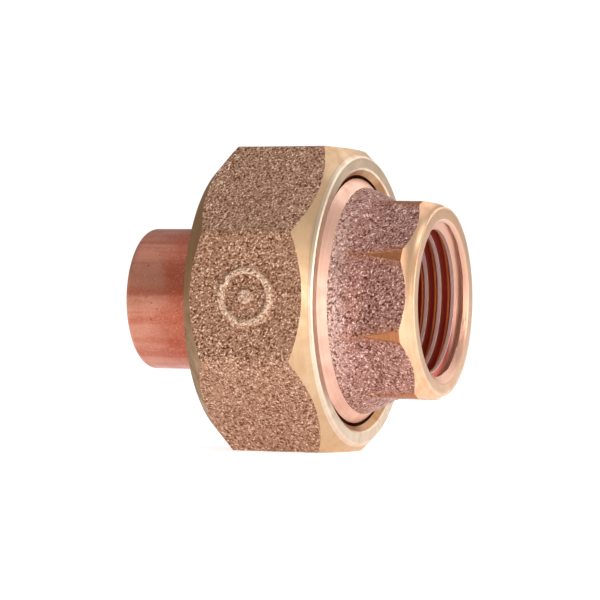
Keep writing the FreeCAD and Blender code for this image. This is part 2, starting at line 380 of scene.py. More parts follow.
@dataclass(frozen=True)
class TurnedMetal(Finish):
    """Machined bronze with fine tool lines round the axis.

    Attributes:
        name: The material's name.
        base: The metal's colour.
        tint: The colour of its duller patches.
        rough: How dull the shine is.
        pitch: The spacing of the tool lines, in metres.
        depth: How deep the lines read, in metres.
        patches: How strong the duller patches are.
        brushed: How far the shine is drawn out across the lines.
    """

    name: str
    base: Colour
    tint: Colour
    rough: float = 0.30
    pitch: float = 0.09 * MM
    depth: float = 0.012 * MM
    patches: float = 0.5
    brushed: float = 0.45

    def paint(self, graph: Graph, shader: bpy.types.Node, place: Wire) -> None:
        """Lay the colours and the relief."""
        x, y, z = graph.split(place)
        radius = graph.from_axis(y, z)
        along = graph.join(x - radius * 1.37, radius + x * 0.31, 0.0)
        lines = graph.noise(along, self.pitch, rough=0.6, seed=2.2)
        coarse = graph.noise(along, self.pitch * 5, detail=1.0, seed=4.6)
        cloud = graph.noise(place, 3.2 * MM, detail=3.0, rough=0.6, seed=6.1, stretch=0.6)
        speck = graph.noise(place, 0.33 * MM, rough=0.6, seed=9.3)
        share = graph.ramp(cloud * 0.6 + coarse * 0.25 + lines * 0.15, 0.38, 0.66)
        colour = graph.blend(share * self.patches, self.base, self.tint)
        pits = graph.ramp(speck, 0.27, 0.36, 1.0, 0.0)
        colour = graph.blend(pits * 0.5, colour, self.tint)
        rough = graph.ramp(cloud, 0.3, 0.7, self.rough * 0.85, self.rough * 1.25)
        shader.inputs["Anisotropic"].default_value = self.brushed
        tangent = graph.node("ShaderNodeTangent", direction_type="RADIAL", axis="X")
        graph.plug(shader.inputs["Tangent"], graph.out(tangent))
        height = lines * 0.5 + coarse * 0.5 + speck * 0.25
        self.dress(graph, shader, colour, rough, 1.0, height, self.depth)


@dataclass(frozen=True)
class CutThread(Finish):
    """A cut thread: dark roots, warm flanks, and dull crests painted pale as a painted
    highlight.

    Attributes:
        name: The material's name.
        root: The colour at the bottom of the grooves.
        flank: The colour of the flanks.
        crest: The pale colour painted on the crests, a painted highlight.
        crest_r: The radius up to which a female crest reaches, in metres.
        root_r: The radius from which the root colour is full, in metres.
        mouth: The colour of the countersink, the first turn and the outside thread.
        mouth_x: The X in front of which the mouth's colour starts, in metres.
        outside_r: The radius between the bore's thread and the outside thread, in metres.
        root_line: How deep the bright line along a groove is, in metres.
        wander: How far the edges between colours stray, in metres.
        depth: How deep the tool marks read, in metres.
    """

    name: str
    root: Colour
    flank: Colour
    crest: Colour
    crest_r: float
    root_r: float
    mouth: Colour
    mouth_x: float
    outside_r: float = 12.0 * MM
    root_line: float = 0.12 * MM
    wander: float = 0.05 * MM
    depth: float = 0.012 * MM

    def paint(self, graph: Graph, shader: bpy.types.Node, place: Wire) -> None:
        """Lay the colours and the relief."""
        x, y, z = graph.split(place)
        radius = graph.from_axis(y, z)
        cloud = graph.noise(place, 2.2 * MM, detail=3.0, rough=0.6, seed=4.4, stretch=0.5)
        fine = graph.noise(graph.join(x * 3.0, y, z), 0.25 * MM, rough=0.6, seed=8.8)
        wander = (fine - 0.5) * self.wander
        deep = graph.ramp(radius + wander, self.root_r - self.root_line, self.root_r)
        # Crests get a painted highlight: a pale colour, with more roughness and less metal.
        painted_highlight = graph.ramp(radius + wander, self.crest_r - 0.02 * MM,
                            self.crest_r + 0.06 * MM, 1.0, 0.0)
        mouth = graph.ramp(x + wander * 4.0, self.mouth_x, self.mouth_x + 0.3 * MM)
        outside = graph.ramp(radius, self.outside_r - 0.5 * MM, self.outside_r + 0.5 * MM)
        mouth = graph.upper(mouth, outside)
        painted_highlight = graph.upper(painted_highlight, mouth * 0.5)
        colour = graph.blend(deep, self.flank, self.root)
        patchy = painted_highlight * graph.ramp(cloud, 0.2, 0.5, 0.75, 1.0)
        colour = graph.blend(patchy, colour, self.crest)
        colour = graph.blend(mouth * 0.8, colour, self.mouth)
        colour = graph.blend(graph.ramp(fine, 0.55, 0.75) * 0.3, colour, self.flank)
        self.dress(graph, shader, colour, painted_highlight * 0.12 + 0.30, painted_highlight * -0.35 + 0.80, fine,
                   self.depth)


@dataclass(frozen=True)
class DrawnCopper(Finish):
    """Drawn copper tube: long soft streaks, specks, and a darker, redder end towards the nut.

    Attributes:
        name: The material's name.
        bright: The colour of clean copper.
        deep_red: The darker, redder colour towards the nut end, also used in the streaks.
        stain: The colour of specks and scratches.
        red_full_x: Where the darker red is strongest, in metres.
        red_gone_x: Where it has faded, in metres.
        pale: The colour of fine scratches.
        stretch: How much shorter the streaks' pattern is along the tube, so that it draws out.
        red_wander: How far the edge of the darker red strays, in metres.
        metallic: How metallic the dulled skin is.
        depth: How deep the streaks read, in metres.
    """

    name: str
    bright: Colour
    deep_red: Colour
    stain: Colour
    red_full_x: float
    red_gone_x: float
    pale: Colour = linear(236, 182, 156)
    stretch: float = 0.06
    red_wander: float = 6.0 * MM
    metallic: float = 0.82
    depth: float = 0.02 * MM

    def paint(self, graph: Graph, shader: bpy.types.Node, place: Wire) -> None:
        """Lay the colours and the relief."""
        x, y, z = graph.split(place)
        drawn = graph.noise(graph.join(x * self.stretch, y, z), 1.5 * MM, rough=0.6, seed=1.3)
        cloud = graph.noise(place, 4.0 * MM, detail=3.0, rough=0.55, seed=2.9, stretch=0.8)
        ring = graph.noise(graph.join(x, 0.0, 0.0), 0.55 * MM, rough=0.6, seed=7.7)
        fine = graph.noise(place, 0.22 * MM, rough=0.6, seed=5.9)
        speck = graph.noise(place, 0.55 * MM, detail=0.5, seed=11.3)
        reddening = graph.ramp(x + (cloud - 0.5) * self.red_wander, self.red_gone_x, self.red_full_x)
        colour = graph.blend(reddening * 0.75, self.bright, self.deep_red)
        share = graph.ramp(drawn * 0.70 + cloud * 0.20 + ring * 0.10, 0.43, 0.57)
        colour = graph.blend(share * 0.55, colour, self.deep_red)
        colour = graph.blend(graph.ramp(fine, 0.46, 0.78) * 0.32, colour, self.pale)
        stained = graph.ramp(speck, 0.20, 0.27, 1.0, 0.0) * 0.45
        colour = graph.blend(stained, colour, self.stain)
        rough = graph.ramp(cloud, 0.3, 0.7, 0.33, 0.46)
        height = drawn * 0.6 + fine * 0.25 + ring * 0.15
        self.dress(graph, shader, colour, rough, self.metallic, height, self.depth)


@dataclass(frozen=True)
class PackingFibre(Finish):
    """Pressed fibre packing with short flecks.

    Attributes:
        name: The material's name.
        base: The fibre's colour.
        fleck: The colour of its flecks.
        depth: How deep the fibres read, in metres.
    """

    name: str
    base: Colour
    fleck: Colour
    depth: float = 0.08 * MM

    def paint(self, graph: Graph, shader: bpy.types.Node, place: Wire) -> None:
        """Lay the colours and the relief."""
        fibre = graph.noise(place, 0.5 * MM, detail=4.0, rough=0.65, seed=3.3, stretch=1.4)
        cloud = graph.noise(place, 2.5 * MM, seed=7.1)
        colour = graph.blend(graph.ramp(fibre, 0.42, 0.68), self.base, self.fleck)
        colour = graph.blend(cloud * 0.3, colour, self.base)
        rough = graph.ramp(fibre, 0.3, 0.7, 0.75, 0.92)
        self.dress(graph, shader, colour, rough, 0.0, fibre, self.depth)


@dataclass(frozen=True)
class StudioPaper(Finish):
    """Pale backdrop paper with a faint tooth, lit through from below.

    Attributes:
        name: The material's name.
        base: The paper's colour.
        glow: How brightly it is lit through.
    """

    name: str = "studio_paper"
    base: Colour = (0.84, 0.86, 0.90)
    glow: float = 0.72

    def paint(self, graph: Graph, shader: bpy.types.Node, place: Wire) -> None:
        """Lay the colours and the relief."""
        tooth = graph.noise(place, 1.2 * MM, detail=3.0, rough=0.6, seed=2.0)
        darker = tuple(c * 0.97 for c in self.base)
        graph.plug(shader.inputs["Base Color"], graph.blend(tooth, self.base, darker))
        graph.plug(shader.inputs["Roughness"], graph.ramp(tooth, 0.2, 0.8, 0.85, 0.95))
        shader.inputs["Specular IOR Level"].default_value = 0.2
        shader.inputs["Emission Color"].default_value = (1.0, 1.0, 1.0, 1.0)
        shader.inputs["Emission Strength"].default_value = self.glow


def store(mesh: bpy.types.Mesh, name: str, values: np.ndarray | list[int],
          kind: str = "FLOAT", domain: str = "POINT") -> None:
    """Keep a value for each of the mesh's vertices, edges or faces.

    Args:
        mesh: The mesh.
        name: What the values are called.
        values: One for each element.
        kind: The attribute's type: FLOAT, INT or BOOLEAN.
        domain: POINT, EDGE or FACE.
    """
    number = {"FLOAT": np.float32, "INT": np.int32, "BOOLEAN": bool}[kind]
    mesh.attributes.new(name, kind, domain).data.foreach_set(
        "value", np.asarray(values, number))


@dataclass(frozen=True)
class Screw:
    """A right-handed thread cut into a shell. Lengths in mm, in the part's frame.

    Attributes:
        number: Which rings it is cut into.
        pitch: The thread's pitch.
        groove_at: The X of a groove's middle on the -Y side.
        crest: The crests' radius.
        root: The grooves' radius.
        open_half: Half a groove's width at the crest.
        root_half: Half a groove's width at the root.
        fade: The X where the grooves have run out, and where they are full.
        row: The spacing of the rings that it is cut into.
    """

    number: int
    pitch: float
    groove_at: float
    crest: float
    root: float
    open_half: float
    root_half: float
    row: float
    fade: tuple[float, float] = (-900.0, -800.0)


@dataclass
class Ring:
    """One loop of a shell, with what belongs to the band of faces after it.

    Attributes:
        back: How far behind the datum face each vertex lies, in mm.
        radius: Each vertex's radius, in mm.
        zone: The finish of the faces up to the next ring.
        cast: How rough the casting is here, 0 to 1.
        screw: The number of the thread cut here, 0 for none.
        skim: How far a cutter stands clear of the casting here, in mm.
        sharp: True if the ring is an edge.
    """

    back: np.ndarray
    radius: np.ndarray
    zone: Zone
    cast: float
    screw: int
    skim: np.ndarray
    sharp: bool


@dataclass
class Shell:
    """A closed ring of skin about the X axis, built front to back and home through the bore.

    Attributes:
        name: The piece's name.
        datum: The X of the face that the rings are measured back from, in mm.
        turn: How far the rings' first vertices are turned from the -Y side, in radians.
        rings: The rings so far.
    """

    name: str
    datum: float
    turn: float = 0.0
    rings: list[Ring] = field(default_factory=list)

    def angles(self, count: int) -> np.ndarray:
        """The angles of a ring of count vertices, from -Y towards +Z."""
        return self.turn + np.arange(count) * (TURN / count)

    def ring(self, count: int, back: Profile, radius: Profile, zone: Zone, cast: float = 0.0,
             screw: int = 0, skim: Profile = -1.0, sharp: bool = False) -> None:
        """Add one ring of count vertices. The other arguments are Ring's."""
        full = np.ones(count)
        self.rings.append(Ring(full * back, full * radius, zone, cast, screw, full * skim,
                               sharp))

    def band(self, count: int, start: tuple[Profile, Profile], end: tuple[Profile, Profile],
             steps: int, zone: Zone, cast: float = 0.0, screw: int = 0,
             sharp: bool = True) -> None:
        """Add evenly spaced rings from start up to, but not at, end.

        Args:
            count: Vertices a ring.
            start: How far back the first ring lies, and its radius.
            end: The same for the ring that the next band starts with.
            steps: How many rings to add.
            zone: The faces' finish.
            cast: How rough the casting is.
            screw: The number of the thread cut here.
            sharp: True if the first ring is an edge.
        """
        for i in range(steps):
            t = i / steps
            self.ring(count, start[0] * (1 - t) + end[0] * t, start[1] * (1 - t) + end[1] * t,
                      zone, cast, screw, sharp=sharp and i == 0)

    def path(self, count: int, corners: tuple[tuple[float, float, int, Zone], ...],
             end: tuple[float, float]) -> None:
        """Add a band from each corner to the next, and from the last one to the end.

        Args:
            count: Vertices a ring.
            corners: Each corner's distance back and radius, with its band's steps and zone.
            end: Where the last band leads.
        """
        ends = [corner[:2] for corner in corners[1:]] + [end]
        for (back, radius, steps, zone), after in zip(corners, ends):
            self.band(count, (back, radius), after, steps, zone)

    def points(self) -> np.ndarray:
        """All vertices, in metres."""
        rows = []
        for ring in self.rings:
            a = self.angles(len(ring.back))
            rows.append(np.stack([self.datum - ring.back, -ring.radius * np.cos(a),
                                  ring.radius * np.sin(a)], 1))
        return np.concatenate(rows) * MM

    def faces(self) -> tuple[list[tuple[int, ...]], list[int]]:
        """The faces and their zones, with the last ring joined to the first.

        Returns:
            Each face's vertex numbers, and each face's zone.
        """
        counts = [len(r.back) for r in self.rings]
        starts = np.concatenate([[0], np.cumsum(counts)])
        faces, zones = [], []
        for i, ring in enumerate(self.rings):
            j = (i + 1) % len(self.rings)
            a, b, n, m = starts[i], starts[j], counts[i], counts[j]
            k = np.arange(min(n, m))
            after = (k + 1) % min(n, m)
            if n == m:
                quads = np.stack([a + k, a + after, b + after, b + k], 1)
                band = quads.tolist()
            elif n == 2 * m:
                middle, end = 2 * k + 1, (2 * k + 2) % n
                band = np.stack([a + 2 * k, a + middle, b + k], 1).tolist()
                band += np.stack([a + middle, a + end, b + after, b + k], 1).tolist()
            else:
                middle, end = 2 * k + 1, (2 * k + 2) % m
                band = np.stack([a + k, b + middle, b + 2 * k], 1).tolist()
                band += np.stack([a + k, a + after, b + end, b + middle], 1).tolist()
            faces += band
            zones += [int(ring.zone)] * len(band)
        return faces, zones

    def build(self, moved: np.ndarray | None = None) -> bpy.types.Object:
        """Make the object, its attributes and its sharp edges.

        Args:
            moved: Vertices to use in place of points(), in metres.

        Returns:
            The new object.
        """
        points = self.points() if moved is None else moved
        faces, zones = self.faces()
        mesh = bpy.data.meshes.new(self.name)
        mesh.from_pydata(points, [], faces)
        mesh.polygons.foreach_set("use_smooth", np.ones(len(faces), bool))
        counts = [len(r.back) for r in self.rings]
        for name, values in (
                ("cast", np.repeat([r.cast for r in self.rings], counts)),
                ("screw", np.repeat([r.screw for r in self.rings], counts)),
                ("skim", np.concatenate([r.skim for r in self.rings]) * MM)):
            store(mesh, name, values)
        store(mesh, "zone", zones, "INT", "FACE")
        owner = np.repeat(np.arange(len(self.rings)), counts)
        is_sharp = np.array([r.sharp for r in self.rings])
        edges = np.zeros(len(mesh.edges) * 2, np.int32)
        mesh.edges.foreach_get("vertices", edges)
        ends = owner[edges.reshape(-1, 2)]
        sharp = (ends[:, 0] == ends[:, 1]) & is_sharp[ends[:, 0]]
        store(mesh, "sharp_edge", sharp, "BOOLEAN", "EDGE")
        piece = bpy.data.objects.new(self.name, mesh)
        bpy.context.scene.collection.objects.link(piece)
        return piece


@dataclass
class SkinTree:
    """The geometry tree that cuts threads, roughens cast skin and sets each zone's finish.

    Attributes:
        thread_labels: What a thread's inputs are called, in the order of their values.
        name: The tree's name.
        finishes: The material of each zone.
        screws: The threads to cut.
        grain: The width of a casting grain, in mm.
        depth: How far the grain moves the skin in all, in mm.
        sweep: How far slow undulations move it, in mm.
        seed: Which grain pattern it is.
        values: The value of each of the tree's inputs, by the input's identifier.
    """

    thread_labels: ClassVar[tuple[str, ...]] = (
        "Pitch", "Groove At", "Crest Radius", "Root Radius", "Open Half", "Root Half", "Row",
        "Fade End", "Fade Full")

    name: str
    finishes: dict[Zone, bpy.types.Material]
    screws: tuple[Screw, ...] = ()
    grain: float = 0.5
    depth: float = 0.06
    sweep: float = 0.05
    seed: float = 1.0
    values: dict[str, float] = field(default_factory=dict)

    def socket(self, tree: bpy.types.NodeTree, label: str, value: float) -> None:
        """Add a named number to the tree's inputs and remember its value."""
        item = tree.interface.new_socket(name=label, in_out="INPUT",
                                         socket_type="NodeSocketFloat")
        self.values[item.identifier] = value

    def cut(self, graph: Graph, group: bpy.types.Node, flow: Wire, screw: Screw) -> Wire:
        """Cut one thread.

        Args:
            graph: The tree's graph.
            group: The tree's input node.
            flow: The geometry so far.
            screw: The thread.

        Returns:
            The geometry with the thread cut.
        """
        tag = f"Thread {screw.number} "
        pitch, groove_at, crest, root, open_half, root_half, row, fade_end, fade_full = (
            graph.out(group, tag + label) for label in self.thread_labels)
        place = graph.out(graph.node("GeometryNodeInputPosition"))
        x, y, z = graph.split(place)
        angle = graph.math("ARCTAN2", z, -y)
        phase = (x - groove_at) / pitch + angle / TURN
        off = (phase - graph.math("ROUND", phase)) * pitch
        away = abs(off)
        side = graph.math("SIGN", off)
        for edge in (root_half, open_half):
            near = graph.math("LESS_THAN", abs(away - edge), row * 0.5)
            away = away + (edge - away) * near
        new_x = x + (away - abs(off)) * side
        full = graph.ramp(new_x, fade_end, fade_full)
        fill = (open_half - away) / (open_half - root_half)
        fill = graph.upper(0.0, graph.lower(1.0, fill)) * full
        wall = crest + (root - crest) * fill
        radius = graph.from_axis(y, z)
        pick = graph.lower if screw.root < screw.crest else graph.upper
        scale = pick(radius, wall) / radius
        mine = graph.math("COMPARE", self.mask(graph, "screw"), float(screw.number), 0.1)
        moved = graph.join(new_x, y * scale, z * scale)
        return graph.step("GeometryNodeSetPosition", flow,
                          {"Selection": mine, "Position": moved})

    def mask(self, graph: Graph, name: str) -> Wire:
        """Read a number stored on the mesh."""
        node = graph.node("GeometryNodeInputNamedAttribute", data_type="FLOAT")
        node.inputs["Name"].default_value = name
        return graph.out(node)

    def roughen(self, graph: Graph, group: bpy.types.Node, flow: Wire) -> Wire:
        """Push the cast skin in and out along its normals."""
        place = graph.out(graph.node("GeometryNodeInputPosition"))
        normal = graph.out(graph.node("GeometryNodeInputNormal"))
        grain, depth, sweep, seed = (graph.out(group, label) for label in
                                     ("Grain", "Grain Depth", "Sweep Depth", "Seed"))
        fine = graph.noise(place, grain, 1.0, 0.5, seed, 0.3) - 0.5
        slow = graph.noise(place, grain * 9.0, 1.0, 0.5, seed + 5.0) - 0.5
        push = (fine * depth + slow * sweep) * self.mask(graph, "cast")
        offset = graph.node("ShaderNodeVectorMath", operation="SCALE")
        graph.plug(offset.inputs[0], normal)
        graph.plug(offset.inputs["Scale"], push)
        return graph.step("GeometryNodeSetPosition", flow, {"Offset": graph.out(offset)})

    def crease(self, graph: Graph, flow: Wire) -> Wire:
        """Make the threads' crest and root edges sharp."""
        angle = graph.out(graph.node("GeometryNodeInputMeshEdgeAngle"))
        steep = graph.math("GREATER_THAN", angle, SHARP_ANGLE)
        threaded = graph.math("GREATER_THAN", self.mask(graph, "screw"), 0.5)
        return graph.step("GeometryNodeSetShadeSmooth", flow,
                          {"Selection": steep * threaded, "Shade Smooth": False},
                          domain="EDGE")

    def build(self) -> bpy.types.NodeTree:
        """Build the tree and note the values of its inputs."""
        tree = bpy.data.node_groups.new(self.name, "GeometryNodeTree")
        for way in ("INPUT", "OUTPUT"):
            tree.interface.new_socket(name="Geometry", in_out=way,
                                      socket_type="NodeSocketGeometry")
        for screw in self.screws:
            sizes = (screw.pitch, screw.groove_at, screw.crest, screw.root, screw.open_half,
                     screw.root_half, screw.row, *screw.fade)
            for label, size in zip(self.thread_labels, sizes):
                self.socket(tree, f"Thread {screw.number} {label}", size * MM)
        for label, value in (("Grain", self.grain * MM), ("Grain Depth", self.depth * MM),
                             ("Sweep Depth", self.sweep * MM), ("Seed", self.seed)):
            self.socket(tree, label, value)
        graph = Graph(tree)
        group = graph.node("NodeGroupInput")
        flow = graph.out(group, "Geometry")
        for screw in self.screws:
            flow = self.cut(graph, group, flow, screw)
        flow = self.roughen(graph, group, flow)
        if self.screws:
            flow = self.crease(graph, flow)
        flow = graph.step("GeometryNodeRealizeInstances", flow, {})
        for zone, material in self.finishes.items():
            here = graph.math("COMPARE", self.mask(graph, "zone"), float(zone), 0.1)
            flow = graph.step("GeometryNodeSetMaterial", flow,
                              {"Selection": here, "Material": material})
        end = graph.node("NodeGroupOutput")
        graph.plug(end.inputs[0], flow)
        return tree

    def apply(self, piece: bpy.types.Object) -> None:
        """Run the tree on the piece and keep the result as its plain mesh."""
        modifier = piece.modifiers.new(self.name, "NODES")
        modifier.node_group = self.build()
        for identifier, value in self.values.items():
            modifier[identifier] = value
        bpy.context.view_layer.update()
        seen = piece.evaluated_get(bpy.context.evaluated_depsgraph_get())
        mesh = bpy.data.meshes.new_from_object(seen)
        mesh.name = piece.name
        piece.modifiers.clear()
        piece.data = mesh


def octagon_radius(angle: np.ndarray, flats: float, rounding: float) -> np.ndarray:
    """The radius of a round-cornered octagon whose first flat faces angle 0.

    Args:
        angle: Angles from the middle of the first flat.
        flats: The width across flats.
        rounding: The corners' radius.

    Returns:
        One radius for each angle.
    """
    off = (angle + HALF_SIDE) % (2 * HALF_SIDE) - HALF_SIDE
    plain = flats / 2 / np.cos(off)
    centre = (flats / 2 - rounding) / math.cos(HALF_SIDE)
    from_corner = HALF_SIDE - np.abs(off)
    reach = rounding**2 - (centre * np.sin(from_corner))**2
    rounded = centre * np.cos(from_corner) + np.sqrt(np.maximum(reach, 0))
    tangent = math.atan(math.tan(HALF_SIDE) * (1 - 2 * rounding / flats))
    return np.where(np.abs(off) > tangent, rounded, plain)


def soft_upper(a: np.ndarray, b: np.ndarray, blend: float) -> np.ndarray:
    """The larger of a and b, eased over blend where they meet."""
    near = np.maximum(blend - np.abs(a - b), 0) / blend
    return np.maximum(a, b) + near**2 * blend / 4


def seat(piece: bpy.types.Object, body: Body, node: str) -> None:
    """Let the piece ride on its body in place of a CAD node, and report it.

    Args:
        piece: The finished piece.
        body: The body that it moves with.
        node: The CAD node that it stands for.
    """
    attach(piece, body.value)
    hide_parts(node)
    corners = [v.co for v in piece.data.vertices]
    low = min(c.x for c in corners) / MM
    high = max(c.x for c in corners) / MM
    triangles = sum(len(p.vertices) - 2 for p in piece.data.polygons)
    log.info("%s: %d triangles, x %.2f to %.2f mm", piece.name, triangles, low, high)


@dataclass
class UnionNut:
    """Cast octagon nut: turned cone in front, chamfer behind, thread and lip inside."""

    flats: float = 39.4
    length: float = 17.6
    rounding: float = 0.5
    face_r: float = 18.85
    cone_at: float = 0.26
    cone_easing: float = 0.30
    cone_run: float = 0.7
    cone_curve: tuple[float, ...] = (0.0, 0.35, 0.7)
    back_r: float = 18.3
    back_step_r: float = 17.0
    mouth_r: float = 17.2
    mouth_break: float = 0.12
    recess_r: float = 16.4
    recess_depth: float = 3.2
    thread_end: float = 10.8
    minor_r: float = 15.19
    relief_r: float = 16.3
    lip: float = 3.0
    lip_bore: float = 11.35
    edge: float = 0.4
    mark_from_front: float = 8.6
    mark_ring_r: float = 3.7
    mark_ring_width: float = 0.9
    mark_pip_r: float = 1.0
    mark_height: float = 0.55
    mark_easing: float = 0.20
    mark_margin: float = 0.2
    outside: int = 640
    inside: int = 320
    thread: Screw = Screw(1, 1.5, -10.691, 15.19, 16.1, 0.6475, 0.12215, 1.5 / 14)

    def shape(self) -> Shell:
        """Lay the rings of the nut's skin."""
        shell = Shell("nut_casting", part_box("union_nut")[1].x / MM)
        out, half = self.outside, self.inside
        octagon = octagon_radius(shell.angles(out), self.flats, self.rounding)
        ease = self.cone_easing
        run = ease * self.cone_run
        front = (self.cone_at + octagon - self.face_r, octagon)
        back = (self.length - (octagon - self.back_r), octagon)
        shell.band(out, (0.0, self.mouth_r + self.mouth_break), (0.0, self.face_r - ease), 6,
                   Zone.TURNED)
        cone_start = (self.cone_at + run, self.face_r + run)
        for t in self.cone_curve:
            shell.ring(out, (self.cone_at + run) * t * t, self.face_r - ease + (ease + run) * t,
                       Zone.TURNED)
        shell.band(out, cone_start, front, 6, Zone.CHAMFER, sharp=False)
        shell.band(out, front, back, 64, Zone.CAST, cast=1.0)
        shell.band(out, back, (self.length, self.back_r), 6, Zone.BACK)
        length, lip_bore, edge, relief = self.length, self.lip_bore, self.edge, self.relief_r
        shell.band(out, (length, self.back_r), (length, self.back_step_r), 3, Zone.BACK)
        shell.band(half, (length, self.back_step_r), (length, lip_bore + edge), 8, Zone.BACK,
                   sharp=False)
        lip_face = length - self.lip
        relief_end = self.thread_end + relief - self.minor_r
        shell.path(half, (
            (length, lip_bore + edge, 2, Zone.BORE),
            (length - edge, lip_bore, 6, Zone.BORE),
            (lip_face + edge, lip_bore, 2, Zone.BORE),
            (lip_face, lip_bore + edge, 8, Zone.BORE),
            (lip_face, relief, 5, Zone.BORE)), (relief_end, relief))
        thread_start = self.recess_depth + self.recess_r - self.minor_r
        row = self.thread.row
        for i in range(round((relief_end - self.recess_depth) / row)):
            deep = relief_end - i * row
            radius = self.minor_r + max(0.0, deep - self.thread_end, thread_start - deep)
            shell.ring(half, deep, min(radius, self.recess_r), Zone.THREAD, screw=1)
        lead = self.mouth_r - self.recess_r
        mouth = (self.mouth_break, self.mouth_r - self.mouth_break)
        shell.path(half, (
            (self.recess_depth, self.recess_r, 8, Zone.BORE),
            (lead, self.recess_r, 4, Zone.BORE)), mouth)
        shell.ring(half, *mouth, Zone.TURNED)
        return shell

    def mark(self, shell: Shell) -> tuple[np.ndarray, np.ndarray]:
        """Raise the foundry mark, a ring with a pip in it, on the flat that faces -Y.

        Args:
            shell: The nut's rings.

        Returns:
            The moved vertices, in metres, and how far up the mark each one is, 0 to 1.
        """
        points = shell.points()
        middle = (shell.datum - self.mark_from_front) * MM
        away = np.hypot(points[:, 0] - middle, points[:, 2]) / MM
        ring_r = self.mark_ring_r - self.mark_ring_width / 2
        ring = self.mark_ring_width / 2 - np.abs(away - ring_r)
        inner = np.maximum(ring, self.mark_pip_r - away) / self.mark_easing + 0.5
        rise = np.clip(inner, 0, 1)
        facing = points[:, 1] < -(self.flats / 2 - self.mark_margin) * MM
        rise = np.where(facing, rise * rise * (3 - 2 * rise), 0)
        points[:, 1] -= rise * self.mark_height * MM
        return points, rise

    def build(self, finishes: dict[Zone, bpy.types.Material]) -> bpy.types.Object:
        """Make the nut and seat it."""
        shell = self.shape()
        points, highlight_mask = self.mark(shell)
        piece = shell.build(points)
        # The mark's rise is stored as the highlight mask, so the cast skin paints a highlight
        # on the mark's top.
        store(piece.data, "highlight_mask", highlight_mask)
        SkinTree("nut_skin", finishes, (self.thread,), seed=4.0).apply(piece)
        seat(piece, Body.NUT, "union_nut")
        return piece


